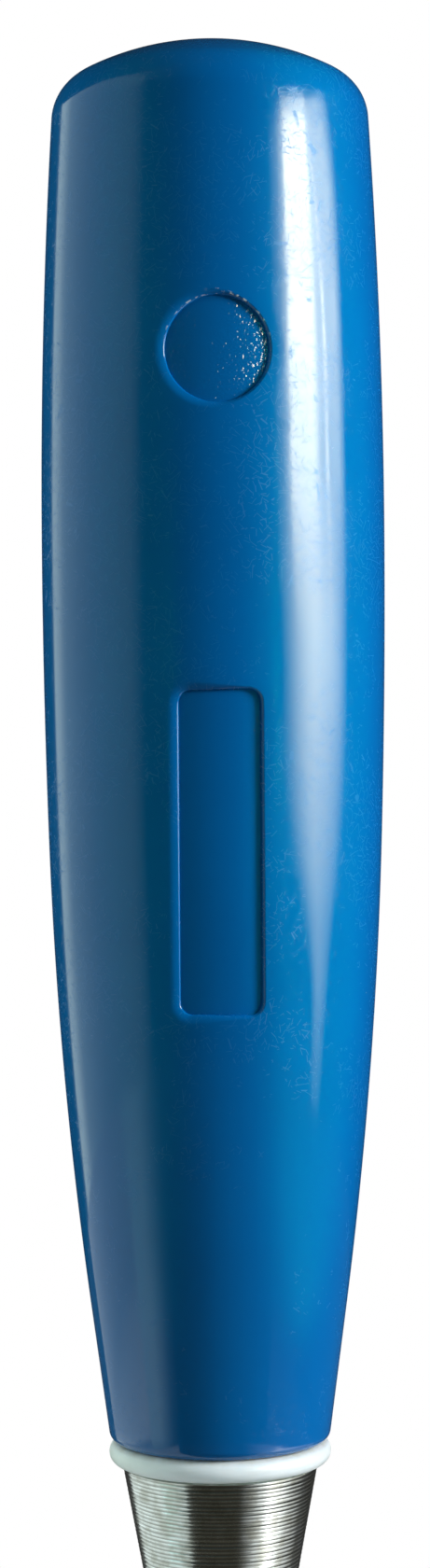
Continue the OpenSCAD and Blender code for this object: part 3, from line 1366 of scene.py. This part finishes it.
    def zone(self, z: float, index: int) -> int:
        """Picks the finish of a face.

        Args:
            z: Height of the face's lower edge.
            index: Its place round the section.

        Returns:
            The number of the zone.
        """
        side = min(index, 2 * self.half_count - 1 - index)
        if z < self.hone_h and side >= sum(self.face_points[:2]):
            return Zone.HONED.value
        return Zone.FORGED.value if z > self.shoulder_z + self.ground_past else Zone.GROUND.value

    def build(self) -> Skin:
        """Builds the forging from the cutting edge to the tip of the tang.

        Returns:
            The blade's skin.
        """
        skin = Skin()
        count = 2 * self.half_count
        levels = self.levels()
        ring = skin.add(self.section(levels[0]))
        first = ring
        for low, high in zip(levels, levels[1:]):
            ring = skin.grow(ring, self.section(high), [self.zone(low, i) for i in range(count)])
        for i in range(self.half_count):
            skin.face((first[i], first[i + 1], first[-i - 1], first[-i] if i else first[0]), Zone.HONED.value)
        forged = Zone.FORGED.value
        tang = self.tang
        end_z = tang.root_z + tang.length
        tip_in, tip_down = self.tip_chamfer
        for points in (
            circle(self.neck_top_r - self.top_chamfer, self.length, count),
            circle(tang.shank_r, self.length, count),
            circle(tang.shank_r, tang.root_z, count),
            square(tang.root_half, tang.root_z, count),
            square(tang.tip_half, end_z - tip_down, count),
            square(tang.tip_half - tip_in, end_z, count),
        ):
            ring = skin.grow(ring, self.turned(points), forged)
        skin.close(ring, (0.0, 0.0, end_z), forged)
        return skin

    @staticmethod
    def turned(points: list[Point]) -> list[Point]:
        """Puts a ring's points in the order of the blade's sections, clockwise from the back."""
        half = len(points) // 2
        return [points[(half - i) % len(points)] for i in range(len(points))]

    def dress(self) -> bpy.types.Object:
        """Makes the piece that stands for the blade's CAD node.

        Returns:
            The piece.
        """
        finishes = {Zone.GROUND: GROUND_STEEL, Zone.HONED: HONED_STEEL, Zone.FORGED: FORGED_STEEL}
        piece = self.build().make("bevel_edge_blade", [finishes[z].make() for z in Zone], self.sharp)
        return seat(piece, "blade")


def spot(away: float, turn: float, height: float) -> Point:
    """Gives a point at a distance from the axis, turned from the front towards +X in degrees."""
    angle = math.radians(turn)
    return away * math.sin(angle), -away * math.cos(angle), height


def ramp(tree: Tree, value: Socket, stops: Sequence[Flat]) -> bpy.types.Node:
    """Makes a ramp of brightness.

    Args:
        tree: The sheet's node tree.
        value: A socket that runs from 0 to 1.
        stops: Places and the brightness there, in rising order.

    Returns:
        A node that gives the brightness.
    """
    most = max(bright for _, bright in stops)
    shades = add_node(tree, "ValToRGB", {0: value})
    band = shades.color_ramp
    while len(band.elements) < len(stops):
        band.elements.new(0.5)
    for element, (at, bright) in zip(band.elements, stops):
        element.position = at
        element.color = (bright / most, bright / most, bright / most, 1.0)
    return add_node(tree, "Math", {0: shades, 1: most}, operation="MULTIPLY")


def over(across: Sequence[Flat], along: Sequence[Flat] = ()) -> Paint:
    """Gives a paint that changes a sheet's brightness across it, and along it if that is asked for.

    Args:
        across: Places across and the brightness there, in rising order.
        along: Places along and what the brightness is multiplied with there.

    Returns:
        The paint.
    """

    def paint(tree: Tree, place: Socket) -> bpy.types.Node:
        """Makes the brightness.

        Args:
            tree: The sheet's node tree.
            place: A socket with the sheet's map.

        Returns:
            A node that gives the brightness.
        """
        at = add_node(tree, "SeparateXYZ", {"Vector": place}).outputs
        light = ramp(tree, at["X"], across)
        if along:
            light = add_node(tree, "Math", {0: light, 1: ramp(tree, at["Y"], along)}, operation="MULTIPLY")
        return light

    return paint


@dataclass(frozen=True)
class Lamp:
    """A soft lamp that faces the tool's axis and lights matt surfaces without showing in the gloss.

    Its face is a square, or an ellipse if it has a height of its own, and only such a lamp has a narrow beam.
    """

    name: str
    place: Point
    width: float
    watts: float
    tint: str = "#FFFFFF"
    aim_z: float = 140.0
    tall: float = 0.0
    beam: float = 8.0

    def hang(self) -> bpy.types.Object:
        """Makes the lamp and links it to the scene.

        Returns:
            The lamp's object.
        """
        data = bpy.data.lights.new(self.name, "AREA")
        data.color = linear(self.tint)[:3]
        data.size = self.width * MM
        data.energy = self.watts
        if self.tall:
            data.shape = "ELLIPSE"
            data.size_y = self.tall * MM
            data.spread = math.radians(self.beam)
        lamp = bpy.data.objects.new(self.name, data)
        lamp.location = Vector(self.place) * MM
        aim = Vector((0.0, 0.0, self.aim_z * MM)) - lamp.location
        lamp.rotation_euler = aim.to_track_quat("-Z", "Y").to_euler()
        lamp.visible_camera = lamp.visible_glossy = False
        bpy.context.scene.collection.objects.link(lamp)
        return lamp


ROOM_LAMPS = (
    Lamp("lamp_right", spot(400.0, 71.0, 310.0), width=130.0, watts=2.15),
    Lamp("lamp_left", spot(800.0, -108.0, 200.0), width=400.0, watts=2.6, tint="#EBFFE8"),
    Lamp("lamp_overhead", (-300.0, -60.0, 1050.0), width=700.0, watts=0.8, tint="#F4FFE6"),
    Lamp("lamp_front", (-450.0, -380.0, 800.0), width=400.0, watts=1.1, tint="#EBFFF6"),
    Lamp("lamp_behind", (-450.0, 900.0, 420.0), width=600.0, watts=6.0),
)
# They light two upright bands of the handle, and stand for the light that scuffs too fine to draw scatter
# beside the highlights. Its red is lost in the blue, so the lamps are green
HANDLE_LAMPS = tuple(
    Lamp("lamp_scatter_" + side, spot(60.0, turn, 212.0), width, watts, "#00FF9A", aim_z=212.0, tall=136.0)
    for side, turn, width, watts in (("right", 38.5, 12.5, 0.0019), ("left", -29.0, 8.5, 0.00024))
)
# It stands for the light that clear polythene carries round from its bright side, which the renderer loses
# in the faces that touch the handle and the bolster
WASHER_LAMPS = (Lamp("lamp_washer", spot(300.0, -4.0, 145.0), width=120.0, watts=0.19, tint="#EEFAFF"),)


def light_alone(piece: bpy.types.Object, lamps: Iterable[Lamp]) -> None:
    """Hangs lamps that light one piece and nothing else.

    Args:
        piece: The piece.
        lamps: Its lamps.
    """
    lit = bpy.data.collections.new("light_on_" + piece.name)
    lit.objects.link(piece)
    for lamp in lamps:
        lamp.hang().light_linking.receiver_collection = lit


@dataclass(frozen=True)
class Softbox:
    """The softbox on the right, bright above and fading downwards.

    Its edges are turns from the front towards +X in degrees. They swing with height, so that its mirror image
    follows the handle's outline. Its brightness is given at shares of its width and height.
    """

    away: float = 600.0
    levels: Flat = (20.0, 480.0)
    parts: int = 23
    near: float = 64.0
    near_swing: float = 26.0
    near_span: Flat = (60.0, 180.0)
    far: float = 82.0
    far_swing: float = 15.0
    far_span: Flat = (60.0, 200.0)
    lean: float = 4.5
    lean_span: Flat = (210.0, 300.0)
    core_share: float = 0.525
    core_parts: int = 21
    seam_share: float = 0.77
    seam_swing: float = 14.0
    seam_span: Flat = (320.0, 450.0)
    seam_parts: int = 10
    rim_swing: float = 9.0
    rim_span: Flat = (400.0, 475.0)
    rim_parts: int = 9
    tint: str = "#FFF6D3"
    skirt: float = 0.5
    up: tuple[Flat, ...] = (
        (0.0, 1.2), (0.196, 4.8), (0.352, 11.0), (0.489, 15.4), (0.6, 21.5), (0.72, 27.0), (0.92, 30.0),
        (0.94, 9.5), (0.957, 3.2), (0.975, 0.4),
    )
    crisp: tuple[Flat, ...] = (
        (0.0, 0.0), (0.04, 0.03), (0.12, 0.1), (0.19, 0.32), (0.235, 1.0), (0.525, 1.0), (0.607, 0.5),
        (0.67, 0.4), (0.745, 0.4), (0.885, 0.36), (0.965, 0.1), (1.0, 0.02),
    )
    soft: tuple[Flat, ...] = (
        (0.0, 0.0), (0.08, 0.14), (0.17, 0.36), (0.265, 0.66), (0.36, 0.88), (0.46, 1.0), (0.56, 0.89),
        (0.66, 0.75), (0.815, 0.45), (0.9, 0.2), (0.965, 0.05), (1.0, 0.01),
    )
    crisp_from: tuple[Flat, ...] = ((0.45, 0.0), (0.58, 1.0))
    seam: tuple[Flat, ...] = ((0.67, 0.0), (0.713, 0.4), (0.745, 0.0))
    seam_from: tuple[Flat, ...] = ((0.42, 0.0), (0.56, 1.0))

    def turns(self, z: float) -> list[float]:
        """Gives the turns of one row's points, from the near edge over the core and the seam to the rim.

        Args:
            z: The row's height.

        Returns:
            The turns in degrees.
        """
        lean = self.lean * (1.0 - smooth(*self.lean_span, z))
        near = self.near - self.near_swing * smooth(*self.near_span, z) + lean
        far = self.far + self.far_swing * smooth(*self.far_span, z) + lean / 2
        core = near + self.core_share * (far - near)
        start, stop = self.seam_span
        bend = min(1.0, max(0.0, (z - start) / (stop - start))) ** 2
        seam = near + self.seam_share * (far - near) - self.seam_swing * bend
        rim = far - self.rim_swing * smooth(*self.rim_span, z)
        turns = spread(near, core, self.core_parts)[:-1] + spread(core, seam, self.seam_parts)[:-1]
        return turns + spread(seam, rim, self.rim_parts)

    def points(self) -> list[list[Point]]:
        """Gives the softbox's points, row by row."""
        levels = spread(*self.levels, self.parts)
        return [[spot(self.away, turn, z) for turn in self.turns(z)] for z in levels]

    def paint(self, tree: Tree, place: Socket) -> bpy.types.Node:
        """Makes the brightness: a ramp upwards times one across, which is softer below and has a seam above.

        Args:
            tree: The sheet's node tree.
            place: A socket with the sheet's map.

        Returns:
            A node that gives the brightness.
        """
        at = add_node(tree, "SeparateXYZ", {"Vector": place}).outputs
        upwards = (self.up, self.crisp_from, self.seam_from)
        up, share, shown = (ramp(tree, at["Y"], stops) for stops in upwards)
        crisp, soft, seam = (ramp(tree, at["X"], stops) for stops in (self.crisp, self.soft, self.seam))
        across = add_node(tree, "Mix", {"Factor": share, "A": soft, "B": crisp}, data_type="FLOAT")
        across = add_node(tree, "Math", {0: seam, 1: shown, 2: across}, operation="MULTIPLY_ADD")
        return add_node(tree, "Math", {0: up, 1: across}, operation="MULTIPLY")


@dataclass
class Studio:
    """The plain floor, the soft lights, the dark cards that shape the reflections, and the camera.

    Turns are degrees from the front towards +X. A tuple of pairs gives brightness at shares of a sheet.
    """

    frame_h_px: float = 1680.0
    focal_px: float = 3222.0
    sensor_mm: float = 36.0
    camera_away: float = 281.0
    camera_z: float = 194.2
    camera_turn: float = -1.6
    camera_roll: float = -0.45
    camera_clip: Flat = (0.01, 50.0)
    fill: float = 0.008
    floor_r: float = 420.0
    floor_bare_r: float = 120.0
    floor_rings: tuple[float, ...] = (0.01, 60.0, 120.0, 200.0, 300.0)
    floor_white: float = 0.6
    floor_shade: str = "#A4A4A2"
    floor_tint: str = "#F3FDFC"
    floor_mirrored: tuple[Flat, ...] = (
        (0.3, 1.26), (0.34, 1.24), (0.375, 1.0), (0.415, 0.68), (0.455, 1.7), (0.49, 1.4), (0.6, 0.75),
    )
    card_r: float = 700.0
    card_top: float = 1200.0
    card_levels: tuple[float, ...] = (0.0, 120.0, 240.0, 400.0, 580.0)
    card_gap: float = 5.0
    card_lift: float = 1.5
    floor_parts: int = 96
    wall_parts: int = 80
    roof_parts: int = 48
    near_parts: int = 24
    arc_parts: int = 40
    black: float = 0.012
    grey: float = 0.055
    grey_tint: str = "#FFF6DC"
    pale_across: tuple[Flat, ...] = ((0.0, 0.12), (1.0, 0.12))
    pale_along: tuple[Flat, ...] = ((0.0, 1.0), (0.24, 1.0), (0.3, 0.33), (1.0, 0.33))
    fading_across: tuple[Flat, ...] = ((0.0, 1.0), (0.1, 0.95), (0.16, 0.55), (0.22, 0.16), (0.28, 0.03))
    fading_along: tuple[Flat, ...] = ((0.0, 0.9), (0.1, 1.6), (0.18, 1.45), (0.36, 1.15), (1.0, 1.0))
    fading_tint: str = "#DCFCFC"
    near_r: Flat = (30.0, 260.0)
    near_turn: float = -46.0
    front_turn: float = -78.0
    right_turn: float = 47.0
    back_r: float = 200.0
    left_turn: float = -142.0
    reflector_turn: float = -49.0
    reflector_cut: float = 10.0
    reflector_cut_span: Flat = (0.6, 1.0)
    reflector_shares: tuple[float, ...] = (0.0, 0.2, 0.4, 0.6, 0.8, 0.9, 1.0)
    reflector_top: float = 1000.0
    reflector_drop: float = 530.0
    reflector_drop_span: Flat = (62.0, 140.0)
    reflector_tint: str = "#EAFFF4"
    reflector_across: tuple[Flat, ...] = (
        (0.0, 0.06), (0.1, 0.52), (0.45, 0.74), (0.75, 1.0), (0.85, 1.7), (0.92, 1.7), (0.96, 0.1),
        (1.0, 0.04),
    )
    low_turns: Flat = (25.8, 125.8)
    low_radii: tuple[float, ...] = (140.0, 200.0, 260.0)
    low_lift: float = 2.5
    low_across: tuple[Flat, ...] = (
        (0.0, 0.1), (0.1, 0.4), (0.18, 0.7), (0.32, 1.5), (0.4, 4.6), (0.49, 2.9), (0.7, 1.2), (1.0, 0.4),
    )

    def camera(self) -> None:
        """Sets up the camera at the photograph's place: level, a little to the left and slightly rolled."""
        data = bpy.data.cameras.new("camera")
        data.sensor_width = self.sensor_mm
        data.lens = self.sensor_mm * self.focal_px / self.frame_h_px
        data.clip_start, data.clip_end = self.camera_clip
        camera = bpy.data.objects.new("camera", data)
        turn = math.radians(self.camera_turn)
        away = self.camera_away * MM
        level = Matrix.Rotation(turn, 4, "Z") @ Matrix.Rotation(math.pi / 2, 4, "X")
        camera.matrix_world = (
            Matrix.Translation((away * math.sin(turn), -away * math.cos(turn), self.camera_z * MM))
            @ level
            @ Matrix.Rotation(math.radians(self.camera_roll), 4, "Z")
        )
        bpy.context.scene.collection.objects.link(camera)
        bpy.context.scene.camera = camera

    def world(self) -> None:
        """Makes surroundings that are white to the eye and in gloss, and a low fill for matt surfaces."""
        world = bpy.data.worlds.new("white_room")
        bpy.context.scene.world = world
        tree = new_tree(world)
        path = add_node(tree, "LightPath").outputs
        camera, gloss = path["Is Camera Ray"], path["Is Glossy Ray"]
        seen = add_node(tree, "Math", {0: camera, 1: gloss}, operation="MAXIMUM")
        seen = add_node(tree, "Math", {0: seen, 1: path["Is Transmission Ray"]}, operation="MAXIMUM")
        strength = add_node(tree, "MapRange", {"Value": seen, "To Min": self.fill, "To Max": 1.0})
        shell = add_node(tree, "Background", {"Color": linear("#FFFFFF"), "Strength": strength})
        add_node(tree, "OutputWorld", {"Surface": shell})
        world.cycles.sampling_method = "NONE"

    @staticmethod
    def sheet(name: str, rows: list[list[Point]], cloth: bpy.types.Material) -> bpy.types.Object:
        """Makes a stage sheet from rows of points, with a map from 0 to 1 along its rows and columns.

        Args:
            name: The sheet's name.
            rows: Its points in millimetres, row by row.
            cloth: Its material.

        Returns:
            The sheet.
        """
        wide = len(rows[0])
        points = [tuple(c * MM for c in p) for row in rows for p in row]
        faces = [
            (k * wide + i, k * wide + i + 1, (k + 1) * wide + i + 1, (k + 1) * wide + i)
            for k in range(len(rows) - 1)
            for i in range(wide - 1)
        ]
        mesh = bpy.data.meshes.new(name)
        mesh.from_pydata(points, [], faces)
        layer = mesh.uv_layers.new(name="place")
        for loop in mesh.loops:
            k, i = divmod(loop.vertex_index, wide)
            layer.data[loop.index].uv = (i / (wide - 1), k / (len(rows) - 1))
        mesh.materials.append(cloth)
        sheet = bpy.data.objects.new(name, mesh)
        bpy.context.scene.collection.objects.link(sheet)
        return sheet

    def card(self, name: str, rows: list[list[Point]], cloth: bpy.types.Material) -> None:
        """Makes a stage sheet that shows in reflections alone.

        Args:
            name: The sheet's name.
            rows: Its points in millimetres, row by row.
            cloth: Its material.
        """
        sheet = self.sheet(name, rows, cloth)
        sheet.visible_camera = sheet.visible_diffuse = sheet.visible_shadow = False
        sheet.visible_transmission = sheet.visible_volume_scatter = False

    @staticmethod
    def ring(
        radii: Iterable[float], first: float, last: float, parts: int, height: float
    ) -> list[list[Point]]:
        """Gives the points of a level sheet that goes round the axis.

        Args:
            radii: The radius of each row.
            first: The turn where it starts.
            last: The turn where it ends.
            parts: How many quads a row has.
            height: The sheet's height.

        Returns:
            The points, row by row.
        """
        return [[spot(radius, turn, height) for turn in spread(first, last, parts)] for radius in radii]

    @staticmethod
    def glowing(
        name: str, paint: Paint | float, tint: str = "#FFFFFF", skirt: float = 0.0
    ) -> bpy.types.Material:
        """Makes a sheet's light.

        Args:
            name: The material's name.
            paint: The strength, or what makes it from the tree and a socket with the sheet's map.
            tint: The light's colour.
            skirt: Strength below which the light has no red; 0 for none.

        Returns:
            The material.
        """
        material = bpy.data.materials.new(name)
        tree = new_tree(material)
        light = paint(tree, add_node(tree, "TexCoord").outputs["UV"]) if callable(paint) else paint
        shade: Any = linear(tint)
        if skirt:
            warm = add_node(tree, "Math", {0: skirt, 1: light}, operation="DIVIDE")
            red = add_node(tree, "Math", {0: 1.0, 1: warm}, operation="SUBTRACT", use_clamp=True)
            shade = add_node(tree, "CombineColor", {"Red": red, "Green": shade[1], "Blue": shade[2]})
        glow = add_node(tree, "Emission", {"Color": shade, "Strength": light})
        add_node(tree, "OutputMaterial", {"Surface": glow})
        return material

    def floor(self) -> None:
        """Lays a round pale floor that fades into the white surroundings."""
        material = bpy.data.materials.new("pale_matt_board")
        tree = new_tree(material)
        place = add_node(tree, "TexCoord").outputs["Object"]
        away = add_node(tree, "VectorMath", {0: place}, operation="LENGTH")
        fade = add_node(
            tree,
            "MapRange",
            {
                "Value": away,
                "From Min": self.floor_bare_r * MM,
                "From Max": self.floor_r * MM,
                "To Min": self.floor_white,
            },
            interpolation_type="SMOOTHSTEP",
        )
        board = add_node(
            tree, "BsdfPrincipled", {"Base Color": linear(self.floor_shade), "Specular IOR Level": 0.0}
        )
        path = add_node(tree, "LightPath").outputs
        camera = path["Is Camera Ray"]
        seen = add_node(tree, "Math", {0: camera, 1: path["Is Glossy Ray"]}, operation="MAXIMUM")
        share = add_node(tree, "Math", {0: fade, 1: seen}, operation="MULTIPLY")
        out = add_node(tree, "Math", {0: away, 1: self.card_r * MM}, operation="DIVIDE").outputs[0]
        mirrored = ramp(tree, out, self.floor_mirrored)
        level = add_node(tree, "Mix", {"Factor": camera, "A": mirrored, "B": 1.0}, data_type="FLOAT")
        tint, plain = linear(self.floor_tint), linear("#FFFFFF")
        hue = add_node(tree, "Mix", {"Factor": camera, "A": tint, "B": plain}, data_type="RGBA")
        white = add_node(tree, "Emission", {"Color": hue, "Strength": level})
        mixed = add_node(tree, "MixShader", {0: share, 1: board, 2: white})
        add_node(tree, "OutputMaterial", {"Surface": mixed})
        material.cycles.emission_sampling = "NONE"
        rings = (*self.floor_rings, self.floor_r, self.card_r)
        self.sheet("studio_floor", self.ring(rings, 0.0, 360.0, self.floor_parts, 0.0), material)

    def cards(self) -> None:
        """Stands dark cards all round, hangs one overhead and lays three on the floor."""
        black = self.glowing("black_card", self.black)
        grey = self.glowing("grey_card", self.grey, self.grey_tint)
        pale = self.glowing("pale_card", over(self.pale_across, self.pale_along))
        fading = self.glowing("fading_card", over(self.fading_across, self.fading_along), self.fading_tint)
        edge, right, lift = self.left_turn + 360.0, self.right_turn, self.card_lift
        turns = spread(self.left_turn, edge, self.wall_parts)
        wall = [[spot(self.card_r, turn, z) for turn in turns] for z in (*self.card_levels, self.card_top)]
        roof_r = (1.0, self.card_r + self.card_gap)
        roof = self.ring(roof_r, 0.0, 360.0, self.roof_parts, self.card_top)
        near = self.ring(self.near_r, self.near_turn, right, self.near_parts, lift)
        front = self.ring((self.near_r[1], self.card_r), self.front_turn, right, self.arc_parts, lift)
        back = self.ring((self.back_r, self.card_r), right, edge, self.arc_parts, lift)
        self.card("card_round", wall, black)
        self.card("card_overhead", roof, black)
        self.card("card_floor_near", near, grey)
        self.card("card_floor_front", front, fading)
        self.card("card_floor_back", back, pale)

    def reflectors(self) -> None:
        """Stands a white reflector on the left and lays one on the floor at the right.

        The left one is brighter towards its far end, where its top slopes down. The low one draws the bright
        streak down the bolster.
        """
        rows = []
        for share in self.reflector_shares:
            near = self.reflector_turn - self.reflector_cut * smooth(*self.reflector_cut_span, share)
            turns = spread(near, self.left_turn, self.arc_parts)
            drops = [self.reflector_drop * smooth(*self.reflector_drop_span, -turn) for turn in turns]
            tops = [share * (self.reflector_top - drop) for drop in drops]
            rows.append([spot(self.card_r - self.card_gap, turn, z) for turn, z in zip(turns, tops)])
        cloth = self.glowing("reflector_cloth", over(self.reflector_across), self.reflector_tint)
        self.card("reflector_left", rows, cloth)
        low = self.ring(self.low_radii, *self.low_turns, self.arc_parts, self.low_lift)
        self.card("reflector_low", low, self.glowing("low_reflector_cloth", over(self.low_across)))

    def build(self) -> None:
        """Sets up the whole studio."""
        self.camera()
        self.world()
        self.floor()
        self.cards()
        self.reflectors()
        box = Softbox()
        cloth = self.glowing("softbox_cloth", box.paint, box.tint, box.skirt)
        self.card("softbox_right", box.points(), cloth)
        for lamp in ROOM_LAMPS:
            lamp.hang()


def main() -> None:
    """Builds the studio and the chisel's pieces in order."""
    logging.basicConfig(level=logging.INFO, format="%(name)s: %(message)s")
    bpy.context.scene.view_settings.view_transform = "Standard"
    Studio().build()
    own_lamps = {MouldedHandle: HANDLE_LAMPS, ShockWasher: WASHER_LAMPS}
    for part in (MouldedHandle(), ShockWasher(), TurnedBolster(), BevelBlade()):
        piece = part.dress()
        if type(part) in own_lamps:
            light_alone(piece, own_lamps[type(part)])
        LOG.info("%s: %d points, %d faces", piece.name, len(piece.data.vertices), len(piece.data.polygons))


if __name__ == "__main__":
    main()
